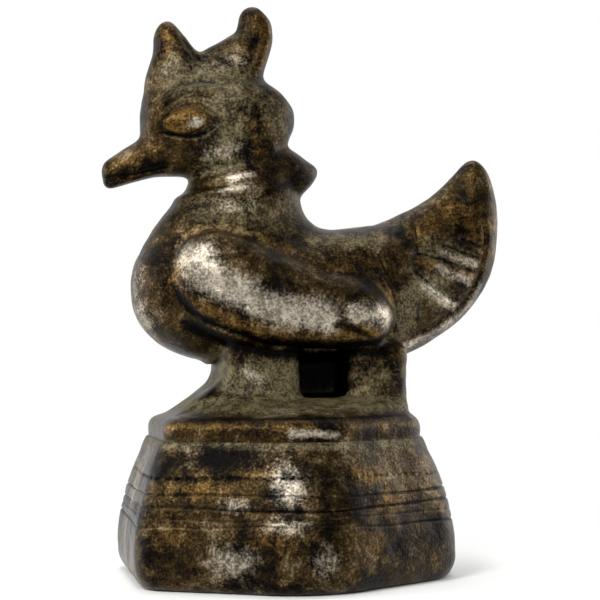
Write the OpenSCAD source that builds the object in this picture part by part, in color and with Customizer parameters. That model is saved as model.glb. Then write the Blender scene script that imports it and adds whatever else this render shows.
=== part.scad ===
// Goose-shaped bronze scale weight on a six-sided plinth
// Millimetres, +Z up, the bird looks along -X, the floor is z = 0

/* [Plinth] */
// Width across the flats where the plinth is widest
plinth_flats = 31.2; // [28:0.5:36]
// Width across the flats under the cap
plinth_top_flats = 25.6; // [25:0.1:28]
// Height of the plinth without its cap
plinth_h = 13.5; // [11:0.1:18]
// Height at which the plinth is widest
foot_h = 2.2; // [1:0.1:3]
// How far the foot curves in below its widest line
foot_tuck = 1.5; // [0.5:0.1:2.5]
// How far the sloping sides bulge out from a straight line
side_bulge = 0.8; // [0:0.05:1.2]
// Radius of the crispest upright edge of plinth and cap
edge_r = 2.6; // [1:0.1:4]
// Radius of the upright edge that hands have worn most
worn_edge_r = 9; // [4:0.1:10]
// Number of incised lines round the plinth
line_count = 5; // [1:1:6]
// Height of the lowest incised line
line_z = 5.7; // [4:0.1:6]
// Distance from one incised line to the next
line_pitch = 1.1; // [0.6:0.05:1.3]
// Width of an incised line
line_w = 0.3; // [0.1:0.05:0.4]
// Depth of an incised line
line_depth = 0.15; // [0.05:0.05:0.3]

/* [Cap] */
// Width across the flats of the cap's rolled rim
cap_flats = 25.4; // [24.4:0.1:28]
// Height of the rolled rim
cap_rim_h = 2.2; // [1.6:0.1:3.5]
// How far the rim rolls in above its widest line
rim_roll = 1.2; // [0.4:0.1:1.6]
// How far the rim rolls in below its widest line
rim_undercut = 0.4; // [0.1:0.1:0.8]
// How far the sloping top starts inside the rim
slope_inset = 0.2; // [0.1:0.05:0.4]
// Rise of the sloping top from the rim to the legs
cap_slope_h = 1.6; // [1:0.1:3.5]
// How far the sloping top climbs the front of the front leg
toe_h = 2; // [0.5:0.1:2.6]

/* [Legs] */
// Height of the legs in the clear
leg_h = 3.7; // [2.8:0.1:6]
// Width of the front leg, side to side
front_leg_w = 12; // [9:0.1:12.4]
// Width of the rear leg, side to side
rear_leg_w = 10.8; // [8:0.1:12]
// Length of the front leg, front to back
front_leg_len = 7.3; // [5:0.1:8]
// Length of the rear leg, front to back
rear_leg_len = 6.5; // [5:0.1:7.2]
// Gap between the legs
leg_gap = 4.5; // [3:0.1:5]
// Radius of the legs' upright edges
leg_edge_r = 1.6; // [0.6:0.1:2.2]
// Thickness of the web that closes the gap
web_t = 3; // [1.5:0.1:6]
// How far the middle of the legs lies behind the plinth's axis
legs_middle = 2.75; // [2.3:0.05:3.2]

/* [Torso] */
// Reach of the breast in front of the plinth's axis
breast_reach = 15; // [14:0.1:17]
// Reach of the torso behind the plinth's axis
rump_reach = 12.6; // [11.5:0.1:14]
// Height of the torso
torso_h = 12.9; // [11:0.1:15]
// Width of the torso
torso_w = 13.4; // [12.6:0.1:16]

/* [Wings] */
// How far a wing stands proud of the torso
wing_proud = 1.6; // [0.8:0.1:2]
// Length of a wing
wing_len = 22; // [19:0.2:23]
// Height of a wing at the shoulder
wing_h = 11.2; // [9:0.1:12]
// How far a wing starts behind the breast
wing_setback = 3; // [2.4:0.1:3.6]
// Height of a wing's foot above the belly
wing_lift = 1; // [0.6:0.1:1.4]

/* [Tail] */
// Reach of the tail behind the torso
tail_reach = 10.3; // [7:0.1:14]
// Rise of the tail's tip above the back
tail_rise = 7.8; // [4:0.1:11]
// Width of the tail where it leaves the torso
tail_w = 9.6; // [7:0.1:10]

/* [Neck] */
// Rise of the throat above the back
neck_h = 5.3; // [4:0.1:8]
// Length of the neck where it leaves the back
neck_len = 19.4; // [18.4:0.1:20.4]
// Width of the neck under the head
neck_w = 7; // [5.5:0.1:7.4]
// How far a collar stands proud of the neck
collar_proud = 0.5; // [0.3:0.05:0.9]
// Thickness of a collar
collar_t = 1.1; // [0.8:0.05:1.3]
// Distance from one collar to the next
collar_pitch = 1.4; // [1.35:0.05:1.8]
// How far the upper collar starts below the throat
collar_drop = 1; // [0.6:0.1:1.4]
// Rise of a collar from the throat to the nape
collar_rise = 1.7; // [1.4:0.1:2]
// Reach of the nape tuft behind the neck
tuft_reach = 2.2; // [1.4:0.1:4]
// Height of the nape tuft at its root
tuft_h = 5.6; // [5:0.1:6.2]
// Width of the nape tuft at its root
tuft_w = 6; // [5:0.1:6.6]

/* [Head] */
// How far the forehead lies behind the front of the breast
forehead_setback = 0.9; // [0.4:0.1:1.4]
// Length of the head without the beak
head_len = 15.6; // [14.5:0.1:17]
// Height of the head without the crest
head_h = 10.6; // [9.5:0.1:12]
// Width of the head
head_w = 7.7; // [7.4:0.1:10]
// Reach of the beak in front of the forehead
beak_reach = 3.8; // [2.4:0.1:6]
// Width of the beak at its root
beak_w = 5.6; // [4:0.1:6.5]
// Slope of the mouth line, in degrees
mouth_slope = 12; // [6:1:16]
// Length of an eye
eye_len = 5.5; // [4:0.1:6]
// Height of an eye
eye_h = 2.5; // [1.8:0.1:2.8]
// How far an eye stands proud of the head
eye_proud = 0.45; // [0.25:0.05:0.8]
// Rise of the front crest horn above the crown
front_crest_h = 5; // [3:0.1:7]
// Rise of the rear crest horn above the crown
rear_crest_h = 6.7; // [4:0.1:9]
// Width of the crest at its root
crest_w = 5; // [3.5:0.1:6]

/* [Hidden] */
// Points round one cross-section
SIDES = 28;
// Cross-sections drawn from one station to the next
STEPS = 3;
// Straight pieces in a rounded outline
ARC_STEPS = 6;
// Sides of a rounded leg edge
EDGE_FN = 32;
// Larger than the beak, for cutting it along the mouth
FAR = 40;
// Thickness of the faces that the cap's slope spans
SKIN = 0.1;
// Wear of each upright edge, 0 for the crispest, from the rear left one round to the rear right one
EDGE_WEAR = [0.25, 1, 0, 0.1, 0.6, 0.3];

// Heights, each standing on the one before
slope_z = plinth_h + cap_rim_h;
foot_z = slope_z + cap_slope_h;
belly_z = foot_z + leg_h;
back_z = belly_z + torso_h;
throat_z = back_z + neck_h;
crown_z = throat_z + head_h;

// Half width across the flats where the cap's slope starts
lip = cap_flats / 2 - rim_roll - slope_inset;

legs_len = front_leg_len + leg_gap + rear_leg_len;
legs_x = legs_middle - legs_len / 2;
rear_leg_x = legs_x + front_leg_len + leg_gap;
// Height at which the legs end inside the torso
leg_top_z = belly_z + torso_h * 0.11;

// Places along the bird, front to back
torso_len = breast_reach + rump_reach;
forehead_x = forehead_setback - breast_reach;
neck_front_x = 0.329 * neck_len - breast_reach;
neck_back_x = 0.86 * neck_len - breast_reach;
wing_x = wing_setback - breast_reach;
wing_z = belly_z + wing_lift;
// How far the mouth starts below the throat
mouth_drop = 0.5;
// Pieces reach this far into the neighbour that trims them
tail_root = 3;
beak_root = 4;
tuft_root = 3.8;
wing_root = 0.9;
eye_root = 0.4;

// Lofts through oval stations

// A station is [upper x, upper z, lower x, lower z, half width, y of its middle]
function soften(v, fullness) = sign(v) * pow(abs(v), 2 / fullness);

function oval(s, fullness) = [
    for (i = [0 : SIDES - 1])
        let (
            along = soften(cos(360 * i / SIDES), fullness),
            across = soften(sin(360 * i / SIDES), fullness)
        )
        [
            (s[0] + s[2]) / 2 + (s[0] - s[2]) / 2 * along,
            s[5] + s[4] * across,
            (s[1] + s[3]) / 2 + (s[1] - s[3]) / 2 * along
        ]
];

// A smooth curve through a list of stations, read at u = 0 to len(list) - 1
function curve(list, u) =
    let (
        last = len(list) - 1,
        i = min(floor(u), last - 1),
        t = u - i,
        a = list[max(i - 1, 0)],
        b = list[i],
        c = list[i + 1],
        d = list[min(i + 2, last)]
    )
    b + t / 2 * (c - a + t * (2 * a - 5 * b + 4 * c - d + t * (3 * (b - c) + d - a)));

// A closed skin over rings of equally many points, which turn clockwise as seen from the last ring
module skin(rings) {
    sides = len(rings[0]);
    last = len(rings) - 1;
    walls = [
        for (k = [0 : last - 1], i = [0 : sides - 1])
            let (
                j = (i + 1) % sides,
                low = k * sides,
                high = low + sides
            )
            each [[low + i, low + j, high + j], [low + i, high + j, high + i]]
    ];
    first_end = [for (i = [sides - 1 : -1 : 0]) i];
    last_end = [for (i = [0 : sides - 1]) last * sides + i];
    polyhedron([for (ring = rings) each ring], concat([first_end], walls, [last_end]));
}

// A skin over oval stations, which run towards +X or +Z
module loft(stations, fullness = 2) {
    spans = (len(stations) - 1) * STEPS;
    skin([for (k = [0 : spans]) oval(curve(stations, k / STEPS), fullness)]);
}

// Stations from shares of a length, a height and a half width
function placed(shares, x, z, length, height, half_w) = [
    for (s = shares)
        [x + length * s[0], z + height * s[1], x + length * s[2], z + height * s[3], half_w * s[4], 0]
];

// Plinth and cap

function plinth_half(z) =
    let (u = (z - foot_h) / (plinth_h - foot_h))
    plinth_flats / 2 + u * (plinth_top_flats - plinth_flats) / 2 + 4 * side_bulge * u * (1 - u);

// Points of the sloping side between two heights
function side_points(z0, z1) = [
    for (i = [1 : ARC_STEPS - 1])
        let (z = z0 + (z1 - z0) * i / ARC_STEPS)
        [plinth_half(z), z]
];

function foot_points() = [
    for (i = [0 : ARC_STEPS])
        let (a = 90 * i / ARC_STEPS)
        [plinth_flats / 2 - foot_tuck * (1 - sin(a)), foot_h * (1 - cos(a))]
];

function line_points() = [
    for (i = [0 : line_count - 1])
        let (z = line_z + i * line_pitch)
        each [
            [plinth_half(z - line_w / 2), z - line_w / 2],
            [plinth_half(z) - line_depth, z],
            [plinth_half(z + line_w / 2), z + line_w / 2]
        ]
];

// Half of the plinth's outline, from the floor to the top
plinth_outline = concat(
    foot_points(),
    side_points(foot_h, line_z - line_w / 2),
    line_points(),
    side_points(line_z + (line_count - 1) * line_pitch + line_w / 2, plinth_h),
    [[plinth_half(plinth_h), plinth_h]]
);

// Half of the rim's outline, a roll that turns in further above than below
rim_outline = [
    for (i = [0 : ARC_STEPS])
        let (
            a = -90 + 180 * i / ARC_STEPS,
            turn_in = a < 0 ? rim_undercut : rim_roll
        )
        [cap_flats / 2 - turn_in * (1 - cos(a)), plinth_h + cap_rim_h * (1 + sin(a)) / 2]
];

// A hexagon with flats towards +X and -X and rounded corners
function hexagon(half, z) = [
    for (corner = [0 : 5], i = [0 : ARC_STEPS])
        let (
            middle = -60 * corner - 30,
            a = -60 * (corner + i / ARC_STEPS),
            r = edge_r + EDGE_WEAR[corner] * (worn_edge_r - edge_r),
            reach = (half - r) / cos(30)
        )
        [reach * cos(middle) + r * cos(a), reach * sin(middle) + r * sin(a), z]
];

// A six-sided solid with the half outline on every flat
module six_sided(outline) {
    skin([for (p = outline) hexagon(p[0], p[1])]);
}

module plinth() {
    color("#4a3d2c") six_sided(plinth_outline);
}

module plinth_cap() {
    color("#574833") {
        six_sided(rim_outline);
        cap_slope();
        cap_toe();
    }
}

// Facets that rise from the rim to the feet of the legs
module cap_slope() {
    hull() {
        translate([0, 0, slope_z - SKIN])
            linear_extrude(SKIN) polygon([for (p = hexagon(lip, 0)) [p[0], p[1]]]);
        translate([legs_x, -front_leg_w / 2, foot_z - SKIN]) cube([front_leg_len, front_leg_w, SKIN]);
        translate([rear_leg_x, -rear_leg_w / 2, foot_z - SKIN]) cube([rear_leg_len, rear_leg_w, SKIN]);
    }
}

// A wedge that rises from the front of the rim to the flat front of the front leg
module cap_toe() {
    toe_w = front_leg_w - 2 * leg_edge_r;
    hull() {
        translate([-lip, -toe_w / 2, slope_z - SKIN]) cube([SKIN, toe_w, SKIN]);
        translate([legs_x - SKIN, -toe_w / 2, foot_z - SKIN]) cube([SKIN, toe_w, toe_h]);
    }
}

// Legs

// A post with rounded upright edges, standing on the cap
module post(x, length, width) {
    reach = width / 2 - leg_edge_r;
    hull()
        for (px = [x + leg_edge_r, x + length - leg_edge_r], py = [-reach, reach])
            translate([px, py, foot_z])
                cylinder(h = leg_top_z - foot_z, r = leg_edge_r, $fn = EDGE_FN);
}

module body_forms() {
    torso_form();
    wing_form(1);
    wing_form(-1);
    tail_form();
}

module front_leg() {
    color("#4f432f") difference() {
        post(legs_x, front_leg_len, front_leg_w);
        body_forms();
    }
}

module rear_leg() {
    color("#4f432f") difference() {
        post(rear_leg_x, rear_leg_len, rear_leg_w);
        body_forms();
    }
}

// A wall on the middle plane, so that the gap is a pocket on either side
module leg_web() {
    color("#2e261b") difference() {
        translate([legs_x + front_leg_len, -web_t / 2, foot_z])
            cube([leg_gap, web_t, leg_top_z - foot_z]);
        torso_form();
    }
}

// Torso, wings and tail

// Shares of the torso's length, height and width, from breast to rump
torso_shares = [
    [0.000, 0.60, 0.000, 0.50, 0.04],
    [0.012, 0.72, 0.012, 0.38, 0.26],
    [0.040, 0.83, 0.040, 0.265, 0.50],
    [0.110, 0.93, 0.110, 0.115, 0.76],
    [0.230, 0.99, 0.230, 0.01, 0.93],
    [0.400, 1.00, 0.400, 0.00, 1.00],
    [0.600, 1.00, 0.600, 0.00, 1.00],
    [0.800, 1.03, 0.800, 0.01, 0.89],
    [0.920, 1.07, 0.920, 0.03, 0.76],
    [1.000, 1.12, 1.000, 0.06, 0.66]
];

module torso_form() {
    loft(placed(torso_shares, -breast_reach, belly_z, torso_len, torso_h, torso_w / 2), 2.3);
}

module torso() {
    color("#5b4d38") torso_form();
}

// Shares of a wing's length, its top and foot, its thickness, and the torso's half width at its middle
wing_shares = [
    [0.000, 0.67, 0.59, 0.10, 0.582],
    [0.050, 0.86, 0.37, 0.60, 0.716],
    [0.140, 1.00, 0.20, 0.88, 0.821],
    [0.280, 0.99, 0.06, 1.00, 0.866],
    [0.460, 0.84, 0.02, 1.00, 0.866],
    [0.640, 0.71, 0.00, 1.00, 0.866],
    [0.820, 0.66, 0.00, 1.00, 0.836],
    [0.930, 0.55, 0.05, 0.90, 0.761],
    [1.000, 0.36, 0.18, 0.45, 0.687]
];

// side is 1 for the bird's right wing and -1 for its left wing
module wing_form(side) {
    loft([
        for (s = wing_shares)
            let (x = wing_x + wing_len * s[0])
            [
                x, wing_z + wing_h * s[1],
                x, wing_z + wing_h * s[2],
                s[3] * (wing_root + wing_proud),
                side * s[4] * torso_w / 2
            ]
    ], 2.2);
}

module wing(side) {
    color("#6d6150") difference() {
        wing_form(side);
        torso_form();
        neck_form();
    }
}

module left_wing() {
    wing(-1);
}

module right_wing() {
    wing(1);
}

// Shares of the tail's length, height and width, from root to tip
tail_shares = [
    [0.000, 0.660, 0.000, 0.015, 1.00],
    [0.214, 0.715, 0.290, 0.035, 0.87],
    [0.382, 0.772, 0.630, 0.165, 0.69],
    [0.511, 0.830, 0.880, 0.340, 0.54],
    [0.608, 0.885, 0.990, 0.557, 0.44],
    [0.690, 0.945, 0.995, 0.782, 0.35],
    [0.752, 0.985, 0.925, 0.930, 0.25],
    [0.805, 1.000, 0.845, 0.992, 0.08]
];

module tail_form() {
    loft(placed(tail_shares, rump_reach - tail_root, belly_z, tail_reach + tail_root,
                torso_h + tail_rise, tail_w / 2), 2.2);
}

module tail() {
    color("#5a4a33") difference() {
        tail_form();
        torso_form();
        wing_form(1);
        wing_form(-1);
    }
}

// Neck, collars and tuft

// Shares of the neck's length, rise and width, from the breast up to the head
neck_shares = [
    [0.061, -1.02, 0.970, -0.83, 1.54],
    [0.038, -0.55, 1.000, -0.36, 1.60],
    [0.096, -0.09, 0.970, -0.02, 1.49],
    [0.198, 0.41, 0.890, 0.34, 1.26],
    [0.300, 0.81, 0.868, 0.70, 1.09],
    [0.350, 1.08, 0.853, 1.11, 1.00],
    [0.380, 1.43, 0.797, 1.53, 0.94]
];

module neck_form() {
    loft(placed(neck_shares, -breast_reach, back_z, neck_len, neck_h, neck_w / 2));
}

module neck() {
    color("#5b4d38") difference() {
        neck_form();
        torso_form();
        head_form();
    }
}

// A lens-shaped disc threaded on the neck, tilted up towards the back
module collar_form(drop) {
    fade = 1.6 * collar_proud;
    front_x = neck_front_x - 0.93 * (drop + collar_drop);
    front_z = throat_z - collar_drop - drop;
    half_w = 0.519 * neck_w + 0.24 * drop + collar_proud;
    loft([
        for (k = [-1 : 0.5 : 1])
            let (
                lift = k * collar_t / 2,
                inset = fade * k * k
            )
            [
                front_x + inset, front_z + lift,
                neck_back_x + 0.6 * collar_proud - inset, front_z + collar_rise + lift,
                half_w - inset, 0
            ]
    ]);
}

module upper_collar() {
    color("#6d6150") difference() {
        collar_form(0);
        neck_form();
        head_form();
        tuft_form();
    }
}

module lower_collar() {
    color("#6d6150") difference() {
        collar_form(collar_pitch);
        neck_form();
        head_form();
        tuft_form();
    }
}

// Shares of the tuft's length, height and width, from root to tip
tuft_shares = [
    [0.000, 0.57, 0.000, -0.43, 1.00],
    [0.433, 0.57, 0.467, -0.41, 0.93],
    [0.780, 0.34, 0.780, -0.25, 0.67],
    [1.000, 0.20, 1.000, 0.05, 0.23]
];

// The lobe in which both collars end behind the neck
module tuft_form() {
    loft(placed(tuft_shares, neck_back_x - tuft_root, throat_z, tuft_root + tuft_reach,
                tuft_h, tuft_w / 2));
}

module nape_tuft() {
    color("#574833") difference() {
        tuft_form();
        neck_form();
        head_form();
        torso_form();
    }
}

// Head, beak, eyes and crest

// Shares of the head's length, height and width, from forehead to nape
head_shares = [
    [0.000, 0.585, 0.005, 0.320, 0.20],
    [0.040, 0.790, 0.075, 0.100, 0.60],
    [0.170, 0.943, 0.234, 0.010, 0.88],
    [0.430, 1.000, 0.440, 0.000, 1.00],
    [0.700, 0.962, 0.714, 0.040, 0.935],
    [0.883, 0.840, 0.920, 0.270, 0.675],
    [0.990, 0.660, 1.000, 0.480, 0.26]
];

module head_form() {
    loft(placed(head_shares, forehead_x, throat_z, head_len, head_h, head_w / 2), 2.2);
}

module head() {
    color("#5b4d38") head_form();
}

// Shares of the beak's length, the head's height and the beak's width, from tip to root
beak_shares = [
    [0.000, 0.057, 0.020, -0.085, 0.20],
    [0.040, 0.123, 0.092, -0.150, 0.41],
    [0.237, 0.217, 0.330, -0.090, 0.57],
    [0.526, 0.350, 0.670, -0.018, 0.79],
    [0.947, 0.510, 1.066, -0.010, 1.00]
];

module beak_form() {
    loft(placed(beak_shares, forehead_x - beak_reach, throat_z, beak_reach + beak_root,
                head_h, beak_w / 2));
}

// Everything on one side of the mouth line, above it for side 1 and below it for side -1
module mouth_side(side) {
    translate([forehead_x - beak_reach, 0, throat_z - mouth_drop])
        rotate([0, -mouth_slope, 0])
            translate([0, 0, side * FAR / 2]) cube(FAR, center = true);
}

module upper_beak() {
    color("#5b4d38") difference() {
        intersection() {
            beak_form();
            mouth_side(1);
        }
        head_form();
    }
}

module lower_beak() {
    color("#574833") difference() {
        intersection() {
            beak_form();
            mouth_side(-1);
        }
        head_form();
        neck_form();
        collar_form(0);
    }
}

// An almond pellet, lower at its front corner
module eye(side) {
    middle_x = forehead_x + 0.29 * head_len;
    middle_z = throat_z + 0.47 * head_h;
    middle_y = 0.455 * head_w;
    color("#7a7162") difference() {
        loft([
            for (k = [-1 : 0.25 : 1])
                let (
                    x = middle_x + k * eye_len / 2,
                    z = middle_z + 0.12 * k * eye_len / 2,
                    tall = eye_h / 2 * (1.04 - k * k)
                )
                [x, z + tall, x, z - tall, (eye_root + eye_proud) * (1.02 - k * k), side * middle_y]
        ]);
        head_form();
    }
}

module left_eye() {
    eye(-1);
}

module right_eye() {
    eye(1);
}

// Shares of the head's length, the horn's rise and the crest's width, from root to tip
front_crest_shares = [
    [0.020, -0.72, 0.430, -0.61, 1.00],
    [0.035, -0.17, 0.415, 0.12, 0.88],
    [0.085, 0.30, 0.340, 0.48, 0.70],
    [0.090, 0.68, 0.250, 0.83, 0.54],
    [0.135, 0.93, 0.195, 0.99, 0.25]
];

rear_crest_shares = [
    [0.300, -0.286, 0.820, -0.520, 1.00],
    [0.370, 0.215, 0.795, -0.095, 0.84],
    [0.520, 0.455, 0.835, 0.220, 0.72],
    [0.620, 0.650, 0.864, 0.490, 0.60],
    [0.637, 0.860, 0.846, 0.778, 0.50],
    [0.685, 0.985, 0.760, 1.000, 0.22]
];

module front_crest_form() {
    loft(placed(front_crest_shares, forehead_x, crown_z, head_len, front_crest_h, crest_w / 2));
}

module front_crest() {
    color("#5a4a33") difference() {
        front_crest_form();
        head_form();
    }
}

module rear_crest() {
    color("#5a4a33") difference() {
        loft(placed(rear_crest_shares, forehead_x, crown_z, head_len, rear_crest_h, crest_w / 2));
        head_form();
        front_crest_form();
    }
}

plinth();
plinth_cap();
front_leg();
rear_leg();
leg_web();
torso();
left_wing();
right_wing();
tail();
neck();
nape_tuft();
upper_collar();
lower_collar();
head();
upper_beak();
lower_beak();
left_eye();
right_eye();
front_crest();
rear_crest();
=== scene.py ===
"""Goose-shaped bronze scale weight on a six-sided plinth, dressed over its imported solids."""

import math

import bmesh
import bpy
import numpy as np
import openvdb
from mathutils import Matrix, Vector


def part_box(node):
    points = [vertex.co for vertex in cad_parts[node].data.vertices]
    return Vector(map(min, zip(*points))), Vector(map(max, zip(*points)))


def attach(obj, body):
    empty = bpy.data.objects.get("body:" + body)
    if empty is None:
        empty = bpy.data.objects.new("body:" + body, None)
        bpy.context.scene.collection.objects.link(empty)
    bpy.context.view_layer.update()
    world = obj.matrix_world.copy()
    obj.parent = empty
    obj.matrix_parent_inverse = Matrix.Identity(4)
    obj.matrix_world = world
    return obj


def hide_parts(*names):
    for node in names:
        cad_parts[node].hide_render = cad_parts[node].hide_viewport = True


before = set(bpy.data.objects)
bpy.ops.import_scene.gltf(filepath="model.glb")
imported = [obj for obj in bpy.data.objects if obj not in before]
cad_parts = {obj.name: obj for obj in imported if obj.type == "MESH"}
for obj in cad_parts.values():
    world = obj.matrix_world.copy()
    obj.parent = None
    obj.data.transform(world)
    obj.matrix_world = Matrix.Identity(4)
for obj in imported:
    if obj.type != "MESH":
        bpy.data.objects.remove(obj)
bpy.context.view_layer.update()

# Sizes are in millimetres until a mesh is made
MM = 0.001

# The bird and the cap were modelled in wax and cast in one pour, so their joints run into each other.
# Their skin is the zero level of a distance field, worked out from the solids on these cells.
COARSE = 0.275
FINE = COARSE / 2
# Cells that a solid's field reaches out on each side of it, and the distance that they span
MARGIN = 10
REACH = MARGIN * COARSE
# Level of the field at which the hairline seams between the solids have closed
SEAM = 0.08
# How far a piece runs on past the border with its neighbours, and how deep it dives there
OVERLAP = 0.4
SINK = 0.25
# Depth of the skin, on each side of the surface, that the carving changes
SKIN_DEPTH = 0.8
# Radii over which relief, swell and shelter are judged
RELIEF_REACH = 0.3
SWELL_REACH = 1.2
SHELTER_REACH = 2.2

CAST_NODES = ["plinth_cap", "front_leg", "rear_leg", "leg_web", "torso", "left_wing", "right_wing",
              "tail", "neck", "nape_tuft", "upper_collar", "lower_collar", "head", "upper_beak",
              "lower_beak", "front_crest", "rear_crest"]
# The body's own wax; every other piece was laid on by itself, and its edges stay narrow
BODY_NODES = ["torso", "tail", "neck", "head"]
LAID_ON = ["plinth"] + [name for name in CAST_NODES if name not in BODY_NODES]
# Blur radii: at the edges of laid-on pieces, at the worn feet of the legs, and within the body
NARROW_FILLET = 0.34
FOOT_FILLET = 0.7
WIDE_FILLET = 1.2
# Distance from a laid-on piece over which the wide fillet comes in
WIDE_FROM, WIDE_TO = 0.1, 1.3
# The rear of a wing's upper edge (x, z), which runs into the back without a step:
# how far from it that reaches, and the blur radius there
WING_BACK = [(-1.6, 32.2), (1.4, 31.4), (4.2, 30.7), (7.4, 29.9)]
MELT_REACH = 1.7
MELT_FILLET = 1.6
# Between these heights the cap's facets and the feet of the legs are worn soft, with soft ends
SOFT_FROM, SOFT_TO = 16.0, 21.0
SOFT_EDGE = 0.8
# The opening between the legs (x, z), which stays sharp, and the y at which its black painted shade starts
# and is full
POCKET_LOW, POCKET_HIGH = (0.6, 17.2), (6.0, 21.4)
POCKET_DUSK, POCKET_DARK = 4.9, 4.1


# Array helpers


def smooth_step(low, high, value):
    """0 below low, 1 above high, and an even S curve between them."""
    share = np.clip((value - low) / (high - low), 0, 1)
    return share * share * (3 - 2 * share)


def dip(gap, width):
    """A bell curve: 1 on the line, about a third one width away from it."""
    return np.exp(-((gap / width) ** 2))


def blur(block, sigma):
    """Gaussian blur of a block by sigma cells along each axis in turn, its edge cells carried outwards."""
    reach = int(np.ceil(2.5 * sigma))
    weights = np.exp(-0.5 * (np.arange(-reach, reach + 1) / sigma) ** 2).astype(np.float32)
    weights /= weights.sum()
    for axis in range(3):
        pads = [(reach, reach) if k == axis else (0, 0) for k in range(3)]
        wide = np.moveaxis(np.pad(block, pads, mode="edge"), axis, 0)
        count = block.shape[axis]
        total = sum(weight * wide[k:k + count] for k, weight in enumerate(weights))
        block = np.moveaxis(total, 0, axis)
    return np.ascontiguousarray(block)


def refine(block):
    """The block on cells half the size: each new value is a cubic through its four old neighbours."""
    for axis in range(3):
        old = np.moveaxis(block, axis, 0)
        wide = np.concatenate([old[:1], old, old[-1:]])
        new = np.empty((2 * len(old) - 1,) + old.shape[1:], np.float32)
        new[0::2] = old
        new[1::2] = (9 * (old[:-1] + old[1:]) - wide[:-3] - wide[3:]) / 16
        block = np.moveaxis(new, 0, axis)
    return np.ascontiguousarray(block)


def sample(block, low, cell, points):
    """The block's values at points, each from the eight cells round it in proportion to nearness."""
    place = np.clip(points / cell - low, 0, np.array(block.shape) - 1.001)
    corner = place.astype(int)
    share = place - corner
    total = np.zeros(len(points))
    for step in np.ndindex(2, 2, 2):
        weight = np.prod(np.where(np.array(step) == 1, share, 1 - share), axis=1)
        i, j, k = (corner + step).T
        total += weight * block[i, j, k]
    return total


def rounded(path, steps=4):
    """A smooth chain through the path's points, by cubic pieces that keep the direction at each point."""
    path = np.asarray(path, float)
    ends = np.concatenate([[2 * path[0] - path[1]], path, [2 * path[-1] - path[-2]]])
    a, b, c, d = ends[:-3, None], ends[1:-2, None], ends[2:-1, None], ends[3:, None]
    t = (np.arange(steps) / steps)[None, :, None]
    curve = b + t / 2 * (c - a + t * (2 * a - 5 * b + 4 * c - d + t * (3 * (b - c) + d - a)))
    return np.concatenate([curve.reshape(-1, path.shape[1]), path[-1:]])


def path_gap(u, v, path):
    """Distance of points (u, v) from a smooth chain, below 0 on its right, and the share of it passed.

    Each point takes the least distance to the chain's straight pieces."""
    path = rounded(path)
    steps = np.diff(path, axis=0)
    lengths = np.hypot(steps[:, 0], steps[:, 1])
    before = np.cumsum(lengths) - lengths
    gap = np.full(u.shape, np.inf)
    share = np.zeros(u.shape)
    for start, step, length, passed in zip(path[:-1], steps, lengths, before):
        along = ((u - start[0]) * step[0] + (v - start[1]) * step[1]) / length**2
        along = np.clip(along, 0, 1)
        here = np.hypot(u - start[0] - along * step[0], v - start[1] - along * step[1])
        nearer = here < np.abs(gap)
        left = step[0] * (v - start[1]) >= step[1] * (u - start[0])
        gap = np.where(nearer, np.where(left, here, -here), gap)
        share = np.where(nearer, (passed + along * length) / lengths.sum(), share)
    return gap, share


def close_to(path, reach, u, v):
    """Which points (u, v) lie in the box round a chain, widened by reach on every side."""
    low = np.min(path, axis=0) - reach
    high = np.max(path, axis=0) + reach
    return (u > low[0]) & (u < high[0]) & (v > low[1]) & (v < high[1])


def uneven(x, y, z, wave):
    """Soft lumps about one wave long: three crossed sines whose phases are bent by each other."""
    k = 2 * np.pi / wave
    a = np.sin(k * (0.83 * x + 0.41 * y + 0.37 * z) + 1.3)
    b = np.sin(k * (-0.35 * x + 0.88 * y + 0.31 * z) + 4.1 + 0.9 * a)
    c = np.sin(k * (0.29 * x - 0.33 * y + 0.91 * z) + 2.2 + 0.9 * b)
    return (a + b + c) / 3


# The fused casting


def node_mesh(name):
    """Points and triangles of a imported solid."""
    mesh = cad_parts[name].data
    points = np.empty(3 * len(mesh.vertices), np.float32)
    mesh.vertices.foreach_get("co", points)
    mesh.calc_loop_triangles()
    triangles = np.empty(3 * len(mesh.loop_triangles), np.int32)
    mesh.loop_triangles.foreach_get("vertices", triangles)
    return points.reshape(-1, 3) / MM, triangles.reshape(-1, 3).astype(np.uint32)


def to_block(low, shape, points, triangles=None, quads=None):
    """Distance from each coarse cell of a block to a closed mesh, negative inside it."""
    grid = openvdb.FloatGrid.createLevelSetFromPolygons(
        points, triangles=triangles, quads=quads,
        transform=openvdb.createLinearTransform(COARSE), halfWidth=REACH / COARSE)
    block = np.empty(tuple(shape), np.float32)
    grid.copyToArray(block, ijk=tuple(int(i) for i in low))
    return block


def to_quads(block, low, cell, level=0.0):
    """Points and outward quads of the surface on which the block has the given level."""
    grid = openvdb.FloatGrid(REACH)
    grid.transform = openvdb.createLinearTransform(cell)
    grid.copyFromArray(np.ascontiguousarray(block), ijk=tuple(int(i) for i in low))
    return grid.convertToQuads(isovalue=level)


def shared(low_a, shape_a, low_b, shape_b):
    """The slices of two blocks that cover the same cells, or None where they have none in common."""
    start = np.maximum(low_a, low_b)
    stop = np.minimum(np.add(low_a, shape_a), np.add(low_b, shape_b))
    if (start >= stop).any():
        return None
    in_a = tuple(slice(i, j) for i, j in zip(start - low_a, stop - low_a))
    in_b = tuple(slice(i, j) for i, j in zip(start - low_b, stop - low_b))
    return in_a, in_b


def nearest_of(names, low, shape):
    """Distance to the nearest of several solids on a block of coarse cells."""
    total = np.full(tuple(shape), REACH, np.float32)
    for name in names:
        other_low, field = solid_fields[name]
        common = shared(low, shape, other_low, field.shape)
        if common:
            total[common[0]] = np.minimum(total[common[0]], field[common[1]])
    return total


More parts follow.
